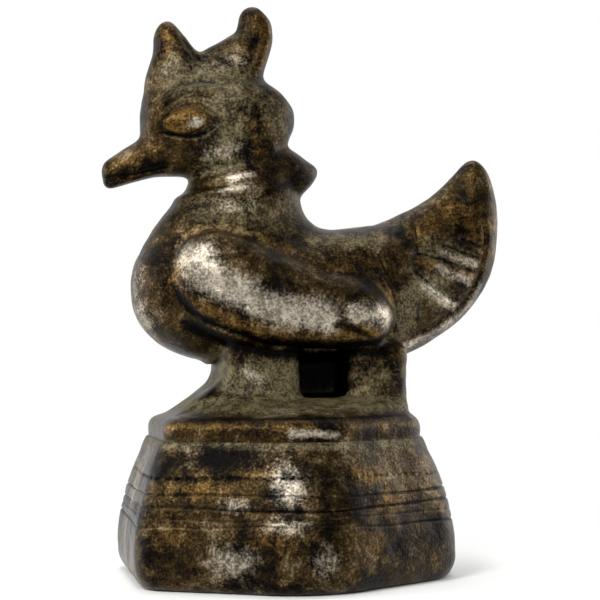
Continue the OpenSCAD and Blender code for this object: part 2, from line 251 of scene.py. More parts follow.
def solid_field(name):
    """A block round one solid: its lowest cell and its distance field."""
    points, triangles = node_mesh(name)
    low = np.floor(points.min(axis=0) / COARSE).astype(int) - MARGIN
    high = np.ceil(points.max(axis=0) / COARSE).astype(int) + MARGIN
    return low, to_block(low, high - low, points, triangles=triangles)


def worn_feet(x, z):
    """1 at the feet of the legs and 0 elsewhere: S curves in height, times S curves beside the opening."""
    above = smooth_step(SOFT_FROM, SOFT_FROM + SOFT_EDGE, z)
    below = smooth_step(SOFT_TO, SOFT_TO - SOFT_EDGE, z)
    before, behind = POCKET_LOW[0], POCKET_HIGH[0]
    beside = smooth_step(before, before - SOFT_EDGE, x) + smooth_step(behind, behind + SOFT_EDGE, x)
    return (above * below * beside).astype(np.float32)


def fused_field():
    """One field for the whole casting: the nearest solid, its inner seams closed, its corners filled.

    A blurred distance lies below the sharp one in a hollow corner, so the lesser of the two is a fillet."""
    low = np.min([block_low for block_low, _ in solid_fields.values()], axis=0)
    high = np.max([block_low + field.shape for block_low, field in solid_fields.values()], axis=0)
    joined = nearest_of(solid_fields, low, high - low)
    points, quads = to_quads(joined, low, COARSE, SEAM)
    field = to_block(low, joined.shape, points, quads=quads) + SEAM
    soft = blur(field, NARROW_FILLET / COARSE)
    x = ((np.arange(joined.shape[0]) + low[0]) * COARSE)[:, None, None]
    z = (np.arange(joined.shape[2]) + low[2]) * COARSE
    soft = soft + worn_feet(x, z) * (blur(field, FOOT_FILLET / COARSE) - soft)
    poured = np.minimum(soft, blur(field, WIDE_FILLET / COARSE))
    free = smooth_step(WIDE_FROM, WIDE_TO, nearest_of(LAID_ON, low, joined.shape))
    cast = soft + free * (poured - soft)
    gap, _ = path_gap(*np.meshgrid(x.ravel(), z, indexing="ij"), WING_BACK)
    melted = dip(gap, MELT_REACH)[:, None, :].astype(np.float32)
    return low, cast + melted * (blur(field, MELT_FILLET / COARSE) - cast)


solid_fields = {name: solid_field(name) for name in CAST_NODES + ["plinth"]}
cast_low, cast_field = fused_field()
# Broad swell, above 0 on what stands out, and shelter, the share of metal round a place
cast_swell = blur(cast_field, SWELL_REACH / COARSE) - cast_field
cast_shelter = blur(np.clip(0.5 - cast_field / COARSE, 0, 1), SHELTER_REACH / COARSE)


# Carving, drawn on the side view (x, z) and cut into both flanks

WING_TOP = [(-11.7, 28.2), (-11.4, 30.0), (-10.9, 31.2), (-9.8, 32.5), (-8.5, 33.3), (-7.2, 33.6),
            (-6.0, 33.3), (-4.3, 32.9), (-2.7, 32.5), (-0.6, 31.9)]
WING_FOOT = [(8.6, 22.6), (5.0, 22.4), (1.2, 22.4), (-2.8, 22.7), (-4.5, 23.2), (-6.6, 23.9),
             (-8.3, 24.7), (-9.7, 25.6), (-10.8, 26.7), (-11.6, 28.2)]
TAIL_RIM = [(11.6, 22.9), (13.2, 23.6), (15.0, 24.5), (16.9, 25.7), (18.3, 26.7), (19.7, 28.7),
            (20.5, 31.0), (20.8, 33.6), (20.4, 36.2)]
FEATHER_TOPS = [
    [(17.8, 33.2), (19.3, 32.8), (20.5, 32.3)],
    [(15.4, 32.5), (16.1, 32.4), (18.0, 31.9), (20.2, 31.2)],
    [(12.4, 31.6), (13.2, 31.5), (15.0, 31.2), (17.8, 30.4), (19.8, 29.7)],
    [(12.0, 30.2), (13.2, 29.4), (14.9, 28.2), (16.8, 27.1), (17.8, 26.9)],
]
CREST_NOTCH = [(-10.4, 53.5), (-9.7, 52.1), (-8.9, 51.0), (-8.0, 50.6), (-6.7, 51.2), (-5.4, 52.2),
               (-4.5, 53.5), (-3.9, 54.6)]
CREST_BACK = [(-2.1, 55.0), (-1.9, 53.0), (-2.5, 50.9), (-3.5, 48.9)]
BROW_TOP = [(-12.4, 46.4), (-10.9, 47.6), (-9.2, 48.1), (-7.5, 48.1), (-6.0, 47.8), (-4.7, 47.0)]
BROW_FOOT = [(-12.6, 44.6), (-11.4, 45.8), (-9.8, 46.7), (-8.5, 46.8), (-7.1, 46.6), (-5.7, 46.4)]
EYE_LID = [(-12.5, 43.2), (-11.7, 44.6), (-10.7, 45.6), (-9.5, 46.0), (-8.2, 45.9), (-6.9, 44.9)]
EYE_FOOT = [(-12.3, 43.1), (-11.2, 42.9), (-10.3, 42.7), (-9.2, 42.7), (-8.1, 43.0), (-6.9, 43.8)]
MOUTH = [(-17.6, 38.8), (-16.8, 38.9), (-15.1, 39.1), (-12.9, 39.6), (-10.8, 40.0)]
JAW = [(-8.6, 39.6), (-6.0, 39.9), (-3.4, 40.4), (-1.4, 41.0)]
BORDER = [(8.2, 31.6), (9.2, 29.2), (10.4, 26.7), (10.7, 24.8), (10.3, 23.0)]
BORDER_TWIN = [(8.7, 31.6), (9.7, 29.2), (10.9, 26.7), (11.2, 24.8), (10.8, 23.0)]

# Chains with the width and depth of the tool's cut, and the lift of the lip on the chain's right
FEATHER_CUT = (0.26, 0.20, 0.16)
FLANK_CUTS = [
    (WING_TOP, 0.45, 0.06, 0.0),
    (WING_FOOT, 0.30, 0.16, 0.0),
    (TAIL_RIM, 0.22, 0.12, 0.06),
    (BROW_TOP, 0.28, 0.20, 0.18),
    (BROW_FOOT, 0.28, 0.18, 0.12),
    (EYE_LID, 0.26, 0.18, 0.0),
    (EYE_FOOT, 0.26, 0.24, 0.0),
    (CREST_NOTCH, 0.28, 0.14, 0.0),
    (CREST_BACK, 0.34, 0.14, 0.0),
    ([(-11.8, 51.5), (-12.4, 49.5), (-12.6, 48.2)], 0.34, 0.12, 0.0),
    (MOUTH, 0.24, 0.20, 0.0),
    (JAW, 0.30, 0.09, 0.0),
    (BORDER, 0.14, 0.14, 0.0),
    (BORDER_TWIN, 0.12, 0.10, 0.0),
    # groove where the cap sits on the plinth
    ([(-14.5, 13.6), (14.5, 13.6)], 0.26, 0.14, 0.0),
    # fold under the last lobe of the wing, and the valley in front of it
    ([(3.4, 24.5), (4.8, 24.2), (5.9, 23.7), (7.4, 23.0)], 0.22, 0.28, 0.0),
    ([(3.7, 27.2), (3.9, 26.0), (4.6, 24.4)], 0.55, 0.20, 0.0),
] + [(top, *FEATHER_CUT) for top in FEATHER_TOPS]
# Where the lip's crest lies beside the cut, and how wide it is, in widths of the cut
LIP_OFF, LIP_SPREAD = 2.6, 1.8
# Share of a chain over which its cut fades at each end, and the strength that is left there
CUT_FADE, CUT_END = 0.12, 0.2
# Middle (x, z), half length, half height and depth of broad dents; a negative depth is a swelling
FLANK_DENTS = [
    ((-4.3, 45.4), (1.5, 1.3), 0.14),
    ((-5.7, 41.4), (1.9, 1.3), -0.20),
    ((-5.2, 50.8), (1.5, 1.0), 0.25),
    ((4.9, 28.9), (4.2, 1.7), 0.40),
    ((7.6, 25.4), (2.0, 1.5), -0.30),
    ((-8.6, 29.4), (2.2, 2.0), -0.20),
]
# Pits left by gas in the pour: place on the flank and radius, and the depth as a share of the radius
FLANK_PITS = [((-7.8, 27.9), 0.45), ((-5.0, 26.2), 0.40), ((0.3, 24.6), 0.50), ((-8.4, 30.4), 0.3),
              ((6.6, 26.6), 0.3), ((-2.4, 25.6), 0.3), ((2.6, 25.9), 0.25)]
PIT_DEPTH = 0.4
# Short bars cut across both sides of the tail's root: x at the ridge, the height of their lower ends,
# the length of their fading ends, the distance from the ridge at which they start and are full, their
# width and depth, and how far they lean forward
BACK_BARS = [11.0, 12.4, 13.6]
BAR_FOOT = 32.3
BAR_FADE = 0.8
BAR_START, BAR_FULL = 0.2, 1.4
BAR_W = 0.2
BAR_DEPTH = 0.16
BAR_LEAN = 0.12
# Beads of metal left from the mould: middle, radius and height
BURRS = [((-15.1, -0.6, 37.9), 0.22, 0.35), ((-10.6, -0.5, 37.6), 0.2, 0.3),
         ((-11.3, -2.0, 21.5), 0.3, 0.35), ((-10.3, -2.6, 21.3), 0.25, 0.3)]
# Unevenness of wax modelled by hand: height and length of the broad and of the fine lumps
BROAD_LUMP, BROAD_WAVE = 0.05, 5.3
FINE_LUMP, FINE_WAVE = 0.022, 1.7


def carving(x, y, z):
    """Depth below the plain casting at each place: a sum of lumps and of bell curves round each mark.

    A mark is worked out only in a box past which its bell has died away."""
    depth = BROAD_LUMP * uneven(x, y, z, BROAD_WAVE) + FINE_LUMP * uneven(z, x, y, FINE_WAVE)
    for path, width, cut, lift in FLANK_CUTS:
        here = close_to(path, 3 * width + 1, x, z)
        gap, share = path_gap(x[here], z[here], path)
        inner = smooth_step(0, CUT_FADE, share) * smooth_step(0, CUT_FADE, 1 - share)
        lip = lift * dip(gap + LIP_OFF * width, LIP_SPREAD * width)
        depth[here] += (cut * dip(gap, width) - lip) * (CUT_END + (1 - CUT_END) * inner)
    for middle, (half_x, half_z), cut in FLANK_DENTS:
        here = close_to([middle], 2.2 * max(half_x, half_z), x, z)
        away = np.hypot((x[here] - middle[0]) / half_x, (z[here] - middle[1]) / half_z)
        depth[here] += cut * dip(away, 1)
    for middle, radius in FLANK_PITS:
        here = close_to([middle], 3 * radius, x, z)
        away = np.hypot(x[here] - middle[0], z[here] - middle[1])
        depth[here] += PIT_DEPTH * radius * dip(away, radius)
    off_ridge = smooth_step(BAR_START, BAR_FULL, np.abs(y)) * smooth_step(BAR_FOOT, BAR_FOOT + BAR_FADE, z)
    for bar_x in BACK_BARS:
        middle_x = bar_x - BAR_LEAN * np.abs(y)
        depth += BAR_DEPTH * dip(x - middle_x, BAR_W) * off_ridge
    for (mid_x, mid_y, mid_z), radius, height in BURRS:
        gap = np.sqrt((x - mid_x) ** 2 + (y - mid_y) ** 2 + (z - mid_z) ** 2)
        depth -= height * dip(gap, radius)
    return depth


# Where the flanks have changed with use, and where shade and sheen are painted on them: chains with their
# half width and strength
# Grey metal, rubbed bare by hands; the bands down the breast's front and inside the tail's lower rim are
# painted sheen
RUBBED_AND_SHEEN = [
    ([(-9.4, 30.8), (-8.6, 28.8)], 1.6, 0.95),
    ([(-8.6, 28.6), (-5.5, 27.2), (-2.6, 26.1), (0.3, 25.4), (2.6, 25.1)], 1.4, 1.0),
    ([(5.4, 25.4), (7.6, 25.4), (8.8, 24.9)], 1.0, 0.85),
    ([(-5.6, 38.6), (-3.6, 39.1)], 0.45, 0.55),
    ([(-6.6, 37.3), (-3.6, 38.0)], 0.45, 0.45),
    ([(-6.6, 36.0), (-3.6, 36.0)], 0.9, 0.25),
    ([(-7.6, 41.0), (-4.6, 41.6)], 1.0, 0.40),
    ([(-9.0, 49.8), (-4.4, 50.6)], 0.8, 0.28),
    ([(-1.8, 14.3), (2.4, 14.2)], 0.40, 0.85),
    ([(-4.6, 20.0), (-3.0, 18.6)], 0.8, 0.45),
    ([(13.8, 28.3), (15.4, 27.3), (17.2, 26.3)], 0.6, 0.65),
    ([(15.6, 30.2), (17.2, 29.5), (18.9, 28.8)], 0.6, 0.60),
    ([(15.8, 31.7), (17.6, 31.2), (19.4, 30.6)], 0.5, 0.55),
    # Painted sheen along the tail's lower rim
    ([(12.0, 22.2), (15.5, 23.8), (18.9, 26.1), (20.4, 28.3)], 0.5, 0.55),
    # Painted sheen down the breast's front
    ([(-14.8, 30.4), (-15.0, 27.4), (-13.6, 24.4)], 0.8, 0.38),
]
# Ochre, where the dark skin is worn thin
WARM = [
    (WING_TOP, 0.9, 0.55),
    ([(6.0, 23.2), (1.2, 23.3), (-2.8, 23.7), (-6.6, 24.9), (-9.4, 26.4)], 0.8, 0.6),
    ([(5.0, 24.0), (8.4, 23.6), (9.8, 25.0), (9.6, 27.3), (8.5, 29.0)], 0.7, 0.6),
    ([(-12.4, 14.8), (12.4, 14.8)], 0.5, 0.35),
    ([(-16.0, 39.8), (-12.0, 41.8)], 0.4, 0.45),
    (CREST_BACK, 0.7, 0.55),
    ([(-10.9, 53.6), (-11.6, 50.6)], 0.6, 0.4),
    ([(13.2, 30.9), (15.0, 30.5), (17.8, 29.7), (19.2, 29.2)], 0.45, 0.9),
    ([(14.6, 27.6), (16.4, 26.5), (17.6, 26.1)], 0.45, 0.6),
    ([(13.4, 33.4), (18.4, 36.0), (19.6, 33.6)], 1.6, 0.60),
    (TAIL_RIM, 0.6, 0.35),
    ([(-3.4, 43.8), (-2.8, 41.6)], 0.7, 0.6),
    ([(1.0, 29.6), (7.4, 29.8)], 1.4, 0.4),
]
# Olive dust, which hands don't reach
DUSTY = [
    ([(-10.5, 48.6), (-5.0, 49.0), (-6.0, 44.6), (-6.0, 41.0)], 2.6, 0.65),
    ([(-8.6, 35.4), (0.6, 35.0)], 2.2, 0.50),
    ([(-5.6, 19.4), (0.4, 19.4)], 1.9, 0.80),
    ([(6.4, 19.2), (10.4, 19.4)], 1.9, 0.45),
    ([(-10.0, 16.8), (11.0, 16.8)], 0.9, 0.90),
    ([(11.6, 25.0), (13.0, 28.0), (15.6, 27.4)], 1.6, 0.80),
    ([(14.6, 32.2), (18.6, 30.8)], 1.5, 0.70),
    ([(2.4, 32.6), (9.0, 32.8)], 1.2, 0.60),
    ([(-2.8, 47.4), (-0.8, 44.4)], 1.6, 0.55),
]
# Painted shade, black, in the deepest corners: under the wing and along its foot, in front of the shoulder,
# on the head and neck, round the cap, in the mouth and under the eye
PAINTED_SHADE = [
    ([(-10.4, 24.6), (-8.0, 23.4), (-4.0, 22.0), (2.0, 21.5), (9.0, 21.8)], 0.7, 0.95),
    (WING_FOOT, 0.4, 0.9),
    ([(-12.2, 26.0), (-12.3, 28.6), (-11.8, 31.0)], 0.7, 0.6),
    ([(-5.4, 46.0), (-3.4, 44.8)], 1.0, 0.5),
    ([(-2.4, 37.2), (0.6, 38.4)], 0.6, 0.8),
    ([(-11.0, 15.6), (11.0, 15.6)], 0.18, 0.8),
    ([(-16.6, 39.0), (-12.0, 40.2)], 0.7, 0.75),
    ([(1.6, 29.4), (6.0, 28.8)], 1.2, 0.45),
    (EYE_FOOT[:-1], 0.22, 0.7),
]
# What the form itself gives: where each S curve starts and ends, and how much it adds to its mark. Deep
# shelter, narrow cuts and the opening between the legs add black painted shade
RIDGE_SWELL = (0.15, 0.6)
RIDGE_RELIEF = (0.02, 0.07)
HOLLOW_SHELTER = (0.52, 0.70)
HOLLOW_SWELL = (-0.05, -0.35)
DEEP_SHELTER = (0.66, 0.82)
CUT_RELIEF = (0.025, 0.13)
SMALL_FORM = 0.6
RIDGE_WARM = 0.2
HOLLOW_DUST = 0.4
CUT_SHADE = 0.7
POCKET_SHADE = 1.6


def marked(bands, x, z):
    """How strongly a place is marked, 0 to 1, falling off from the middle of each band."""
    total = np.zeros(x.shape)
    for path, width, strength in bands:
        here = close_to(path, 2.5 * width, x, z)
        gap, _ = path_gap(x[here], z[here], path)
        total[here] = np.maximum(total[here], strength * dip(gap, width))
    return total


# Pieces


def add_piece(name, node, points, quads, marks):
    """A closed mesh of quads in the object's frame, with its wear marks, painted shade and painted sheen as
    point attributes.
    """
    mesh = bpy.data.meshes.new(name)
    mesh.vertices.add(len(points))
    mesh.vertices.foreach_set("co", (points * MM).astype(np.float32).ravel())
    mesh.loops.add(quads.size)
    mesh.loops.foreach_set("vertex_index", quads.astype(np.int32).ravel())
    mesh.polygons.add(len(quads))
    mesh.polygons.foreach_set("loop_start", np.arange(0, quads.size, 4, dtype=np.int32))
    for label, values in marks.items():
        attribute = mesh.attributes.new(label, "FLOAT", "POINT")
        attribute.data.foreach_set("value", np.asarray(values, np.float32))
    mesh.update(calc_edges=True)
    mesh.shade_smooth()
    mesh.materials.append(cast_bronze)
    piece = bpy.data.objects.new(name, mesh)
    bpy.context.scene.collection.objects.link(piece)
    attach(piece, "root")
    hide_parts(node)
    return piece


def wear_and_painted_light_marks(points, relief, swell, shelter):
    """The bands on the flanks, joined by what the form itself gives.

    Ridges wear to ochre and hollows gather dust; narrow cuts, deep shelter and the opening between the legs
    are painted black as shade."""
    x, y, z = points.T
    ridge = smooth_step(*RIDGE_SWELL, swell) + SMALL_FORM * smooth_step(*RIDGE_RELIEF, relief)
    hollow = smooth_step(*HOLLOW_SHELTER, shelter) + SMALL_FORM * smooth_step(*HOLLOW_SWELL, swell)
    # Painted shade: black where the metal shelters a place
    sheltered_shade = smooth_step(*DEEP_SHELTER, shelter)
    # Black painted shade inside the opening between the legs
    within = smooth_step(POCKET_DUSK, POCKET_DARK, np.abs(y))
    pocket_shade = POCKET_SHADE * within * close_to([POCKET_LOW, POCKET_HIGH], 0, x, z)
    # Painted shade: black in narrow cuts
    cut = CUT_SHADE * smooth_step(*CUT_RELIEF, -relief)
    return {
        "worn": marked(RUBBED_AND_SHEEN, x, z),
        "warm": np.clip(RIDGE_WARM * ridge + marked(WARM, x, z), 0, 1),
        "dusty": np.clip(HOLLOW_DUST * hollow + marked(DUSTY, x, z), 0, 1),
        "black": np.clip(cut + sheltered_shade + pocket_shade + marked(PAINTED_SHADE, x, z), 0, POCKET_SHADE),
    }


def cast_piece(node):
    """One piece of the casting: the fused field, carved, and held to the cells nearest this solid.

    Past the border with its neighbours the piece dives under them, so no seam shows."""
    low, own = solid_fields[node]
    others = nearest_of([name for name in solid_fields if name != node], low, own.shape)
    common = shared(cast_low, cast_field.shape, low, own.shape)
    field = refine(cast_field[common[0]])
    border = refine((own - others) / 2)
    near = np.nonzero((np.abs(field) < SKIN_DEPTH) & (border < 2 * OVERLAP))
    fine_low = 2 * low
    x, y, z = ((index + start) * FINE for index, start in zip(near, fine_low))
    field[near] += carving(x, y, z)
    relief = blur(field, RELIEF_REACH / FINE) - field
    dive = SINK * smooth_step(0, OVERLAP, border)
    points, quads = to_quads(np.maximum(field + dive, border - OVERLAP), fine_low, FINE)
    marks = wear_and_painted_light_marks(
        points,
        sample(relief, fine_low, FINE, points),
        sample(cast_swell, cast_low, COARSE, points),
        sample(cast_shelter, cast_low, COARSE, points))
    add_piece("cast_" + node, node, points, quads, marks)


def close_poles(piece):
    """Joins the points of an end ring that has shrunk to one place."""
    edit = bmesh.new()
    edit.from_mesh(piece.data)
    bmesh.ops.remove_doubles(edit, verts=edit.verts, dist=1e-3 * MM)
    edit.to_mesh(piece.data)
    edit.free()


def closed_quads(rings, around):
    """Quads over rings of equally many points, each ring joined to the next and to itself."""
    ring, step = np.meshgrid(np.arange(rings - 1), np.arange(around), indexing="ij")
    after = (step + 1) % around
    quads = np.stack([ring * around + step, ring * around + after,
                      (ring + 1) * around + after, (ring + 1) * around + step], axis=-1)
    return quads.reshape(-1, 4)


# Plinth

# Half width across the flats where it is widest, and height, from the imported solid's box
_, plinth_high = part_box("plinth")
PLINTH_HALF = plinth_high[0] / MM
PLINTH_H = plinth_high[2] / MM
# Half width at the top, height of the foot's curve, how far it tucks in, and the bulge of the sides
PLINTH_TOP_HALF = 12.8
FOOT_H = 2.2
FOOT_TUCK = 1.5
SIDE_BULGE = 0.8
# Radius of the six upright edges, from the one at 30 degrees round to the one at 330 degrees:
# hands have worn the edge under the bird's left side most, and the one before it least
EDGE_WEAR = np.array([0.3, 0.6, 0.1, 0, 1, 0.25])
EDGE_R, WORN_EDGE_R = 2.6, 9.0
EDGE_RADII = EDGE_R + (WORN_EDGE_R - EDGE_R) * EDGE_WEAR
# Largest share of the half width that an edge's radius may take
EDGE_SHARE = 0.6
# Hair's breadth between the plinth's top and the cap
TOP_GAP = 0.02
# Points round a ring, rings up the foot and the plain sides, and how far out the flat ends' rings lie
AROUND = 480
FOOT_RINGS, LOW_RINGS, HIGH_RINGS = 12, 22, 26
END_RINGS = np.array([0.0, 0.3, 0.6, 0.85, 0.96])
# Lumps of the sides: mean depth, height and length of the broad and of the fine ones
SIDE_LUMP = 0.14
SIDE_BROAD, SIDE_BROAD_WAVE = 0.09, 6.1
SIDE_FINE, SIDE_FINE_WAVE = 0.04, 2.3
# Distances below the top at which the lumps fade out and the dust of the ledge gathers
LUMPS_FADE = (0.2, 1.6)
LEDGE_DUST = (0.9, 0.5)
# Depths of a line at which its black painted shade starts and is darkest
LINE_DARK = (0.03, 0.14)

# Incised lines: height, width, depth, and how far they waver
PLINTH_LINES = [(10.3, 0.13, 0.22, 0.10), (8.75, 0.11, 0.16, 0.08), (7.6, 0.12, 0.16, 0.10),
                (6.7, 0.10, 0.10, 0.12), (5.95, 0.11, 0.15, 0.16)]
# Heights between which the rings lie close, their spacing there, and that of the topmost line's dots
LINED_FROM, LINED_TO, LINED_STEP = 5.45, 10.85, 0.045
DOT_PITCH = 0.9
# Hatching on the flat under the breast: pitch, depth, and where it starts and ends in height
HATCH_PITCH = 0.55
HATCH_DEPTH = 0.08
HATCH_FOOT = (6.5, 6.8)
HATCH_TOP = (7.7, 7.5)
# Places on the plinth changed with use, with some painted sheen and shade: angle in degrees, height, half
# width, half height and strength
PLINTH_SPOTS = {
    "worn": [(-100, 9.6, 1.5, 2.0, 0.75), (-118, 3.1, 2.2, 1.5, 0.65), (-89, 3.2, 1.3, 1.4, 0.5),
             (-119, 7.9, 1.6, 0.7, 0.4), (-100, 6.3, 2.0, 0.9, 0.4), (32, 7.0, 2.4, 2.0, 0.5),
             (90, 6.0, 2.4, 2.4, 0.4), (150, 8.0, 2.0, 2.4, 0.4), (62, 10.5, 2.6, 1.4, 0.4),
             # The spot at 180 degrees over the whole flat is rubbed metal and painted sheen
             (180, 8.0, 4.5, 5.5, 0.35)],
    "warm": [(-133, 9.2, 3.0, 1.0, 0.6), (-114, 10.8, 3.4, 0.6, 0.5), (-108, 4.9, 4.0, 0.7, 0.5),
             (-69, 10.6, 2.4, 1.2, 0.65), (-62, 8.0, 3.6, 1.0, 0.6), (-140, 5.0, 1.6, 1.4, 0.4),
             (-72, 4.6, 2.4, 1.6, 0.4), (0, 8.4, 4.0, 2.0, 0.5), (60, 5.0, 4.0, 2.0, 0.5),
             (118, 9.0, 4.0, 1.6, 0.5)],
    # The long low spot at -110 degrees is black painted shade along the foot
    "black": [(-126, 12.0, 8.0, 1.7, 0.95), (-146, 3.5, 1.4, 4.0, 0.5), (-110, 0.8, 9.0, 0.9, 0.6),
              (-74, 11.6, 3.2, 0.8, 0.4), (-100, 3.8, 1.4, 1.2, 0.45), (-52, 3.4, 2.6, 2.0, 0.6),
              (30, 3.0, 3.0, 2.0, 0.4), (98, 11.0, 4.0, 1.2, 0.4)],
}


def plinth_outline():
    """Half width across the flats and height of each ring: foot curve, then bowed slope.

    The rings lie closest where the incised lines are."""
    foot = FOOT_H * (1 - np.cos(np.linspace(0, np.pi / 2, FOOT_RINGS)))
    low_side = np.linspace(FOOT_H, LINED_FROM, LOW_RINGS)[1:-1]
    lined = np.arange(LINED_FROM, LINED_TO, LINED_STEP)
    high_side = np.linspace(LINED_TO, PLINTH_H - TOP_GAP, HIGH_RINGS)
    z = np.concatenate([foot, low_side, lined, high_side])
    turn = np.arccos(np.clip(1 - z / FOOT_H, 0, 1))
    rise = (z - FOOT_H) / (PLINTH_H - FOOT_H)
    slope = PLINTH_HALF + rise * (PLINTH_TOP_HALF - PLINTH_HALF) + 4 * SIDE_BULGE * rise * (1 - rise)
    half = np.where(z < FOOT_H, PLINTH_HALF - FOOT_TUCK * (1 - np.sin(turn)), slope)
    return half, z


def hexagon_radius(angle, half, edge_r):
    """Distance from the axis to a hexagon with flats to +X and -X, by angle.

    It is the flat's distance over a cosine, or near a corner the far side of the corner's circle."""
    off_flat = np.abs((angle + np.pi / 6) % (np.pi / 3) - np.pi / 6)
    off_corner = np.pi / 6 - off_flat
    corner = (half - edge_r) / np.cos(np.pi / 6)
    on_flat = half / np.cos(off_flat)
    under_root = np.maximum(edge_r**2 - (corner * np.sin(off_corner)) ** 2, 0)
    on_corner = corner * np.cos(off_corner) + np.sqrt(under_root)
    flat_end = np.arctan2((half - edge_r) * np.tan(np.pi / 6), half)
    return np.where(off_flat < flat_end, on_flat, on_corner)


def plinth_cuts(angle, z, girth):
    """Depth of the incised lines: wavering bells across the height, dotted, hatched or fading by place."""
    cuts = np.zeros(angle.shape)
    for number, (line_z, width, depth, waver) in enumerate(PLINTH_LINES):
        here = line_z + waver * np.sin(3 * angle + 1.7 * number) + 0.4 * waver * np.sin(11 * angle + number)
        strength = 0.75 + 0.25 * np.sin(2 * angle + 2.1 * number)
        if number == 0:
            strength = strength * (0.55 + 0.45 * np.sin(girth * 2 * np.pi / DOT_PITCH))
        cuts += depth * strength * dip(z - here, width)
    in_front = smooth_step(0.75, 0.9, np.cos(angle - np.pi))
    between = smooth_step(*HATCH_FOOT, z) * smooth_step(*HATCH_TOP, z)
    strokes = dip(np.sin(np.pi * (girth + 0.3 * z) / HATCH_PITCH), 0.35)
    return cuts + HATCH_DEPTH * in_front * between * strokes


def plinth_spots(label, angle, radius, z):
    """How strongly each place bears a mark, 0 to 1, falling off from the middle of each oval spot."""
    total = np.zeros(angle.shape)
    for spot_angle, spot_z, half_width, half_height, strength in PLINTH_SPOTS[label]:
        off = (angle - math.radians(spot_angle) + np.pi) % (2 * np.pi) - np.pi
        gap = np.hypot(off * radius / half_width, (z - spot_z) / half_height)
        total = np.maximum(total, strength * dip(gap, 1))
    return total


def plinth_skin():
    """Rounded hexagons stacked along the outline, less the cuts, with flat ends closed to the axis."""
    half, z = plinth_outline()
    half = np.concatenate([END_RINGS * half[0], half, END_RINGS[::-1] * half[-1]])
    z = np.concatenate([0 * END_RINGS, z, 0 * END_RINGS + z[-1]])
    angle = np.linspace(0, 2 * np.pi, AROUND, endpoint=False)
    angle, half = np.meshgrid(angle, half)
    z = np.broadcast_to(z[:, None], angle.shape)
    girth = angle * PLINTH_HALF
    edge_r = EDGE_RADII[(angle // (np.pi / 3)).astype(int) % 6]
    radius = hexagon_radius(angle, half, np.minimum(edge_r, EDGE_SHARE * half))
    x, y = radius * np.cos(angle), radius * np.sin(angle)
    side = np.zeros(angle.shape)
    side[len(END_RINGS):-len(END_RINGS)] = 1
    cuts = side * plinth_cuts(angle, z, girth)
    below_top = PLINTH_H - z
    lumps = SIDE_LUMP + SIDE_BROAD * uneven(x, y, z, SIDE_BROAD_WAVE)
    lumps = lumps + SIDE_FINE * uneven(y, z, x, SIDE_FINE_WAVE)
    inwards = np.minimum(cuts + side * smooth_step(*LUMPS_FADE, below_top) * lumps, radius)
    points = np.stack([x - inwards * np.cos(angle), y - inwards * np.sin(angle), z], axis=-1)
    marks = {label: plinth_spots(label, angle, radius, z) for label in PLINTH_SPOTS}
    marks["warm"] += 0.05
    marks["dusty"] = 0.1 + 0.45 * smooth_step(*LEDGE_DUST, below_top)
    # Painted shade: the incised lines darken to black with their depth
    marks["black"] = np.maximum(marks["black"], 0.75 * smooth_step(*LINE_DARK, cuts))
    marks = {label: values.ravel() for label, values in marks.items()}
    quads = closed_quads(len(points), AROUND)
    close_poles(add_piece("six_sided_plinth", "plinth", points.reshape(-1, 3), quads, marks))


# Eyes

EYE_LEN = 5.1
EYE_H = 2.6
EYE_PROUD = 0.75
# Points along an eye and round it
EYE_STEPS, EYE_AROUND = 61, 48
# Distance of an eye's middle from the middle plane, and how far it leans in and tilts per length
EYE_Y = 3.4
EYE_LEAN = 0.13
EYE_TILT = 0.12
# Middle and half size of the painted glint along the eye, from -1 to 1, and across it, from low to high
GLINT_ALONG, GLINT_HALF_LEN = 0.30, 0.28
GLINT_ACROSS, GLINT_HALF_H = -0.30, 0.40


def eye_pellet(node, side):
    """An almond pellet: ovals along its length whose size falls to nothing at both corners.

    It leans in towards the beak with the head, and its front corner is the lower one."""
    low, high = (np.array(corner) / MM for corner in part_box(node))
    middle = (low + high) / 2
    turn = np.linspace(0, 2 * np.pi, EYE_AROUND, endpoint=False)
    u, v = np.meshgrid(np.linspace(-1, 1, EYE_STEPS), turn, indexing="ij")
    taper = np.maximum(1 - np.abs(u) ** 1.9, 0) ** 0.8
    along = u * EYE_LEN / 2
    x = middle[0] + along
    y = side * (EYE_Y + EYE_LEAN * along + EYE_PROUD * taper * np.sin(v))
    z = middle[2] + EYE_TILT * along + EYE_H / 2 * taper * np.cos(v)
    points = np.stack([x, y, z], axis=-1).reshape(-1, 3)
    quads = closed_quads(*u.shape)
    if side > 0:
        quads = quads[:, ::-1]
    glint = dip(np.hypot((u - GLINT_ALONG) / GLINT_HALF_LEN, (np.cos(v) - GLINT_ACROSS) / GLINT_HALF_H), 1)
    marks = {
        # Painted glint, in the light grey metal layer
        "worn": 0.9 * glint.ravel(),
        "warm": np.full(u.size, 0.7),
        "dusty": np.zeros(u.size),
        # Black painted shade at both corners, where the pellet meets the head
        "black": 0.8 * smooth_step(0.80, 0.97, np.abs(u)).ravel(),
    }
    close_poles(add_piece(node + "_pellet", node, points, quads, marks))


# Material


def linear(hex_colour):
    """An sRGB hex colour as linear red, green, blue and alpha."""
    values = [int(hex_colour[i:i + 2], 16) / 255 for i in (1, 3, 5)]
    return [v / 12.92 if v <= 0.04045 else ((v + 0.055) / 1.055) ** 2.4 for v in values] + [1.0]


def add_node(tree, kind, inputs=None, **settings):
    """Adds a node and gives its outputs; inputs hold each socket's value or the output linked to it."""
    node = tree.nodes.new(kind)
    for key, value in settings.items():
        setattr(node, key, value)
    for socket, value in (inputs or {}).items():
        if isinstance(value, bpy.types.NodeSocket):
            tree.links.new(value, node.inputs[socket])
        else:
            node.inputs[socket].default_value = value
    return node.outputs


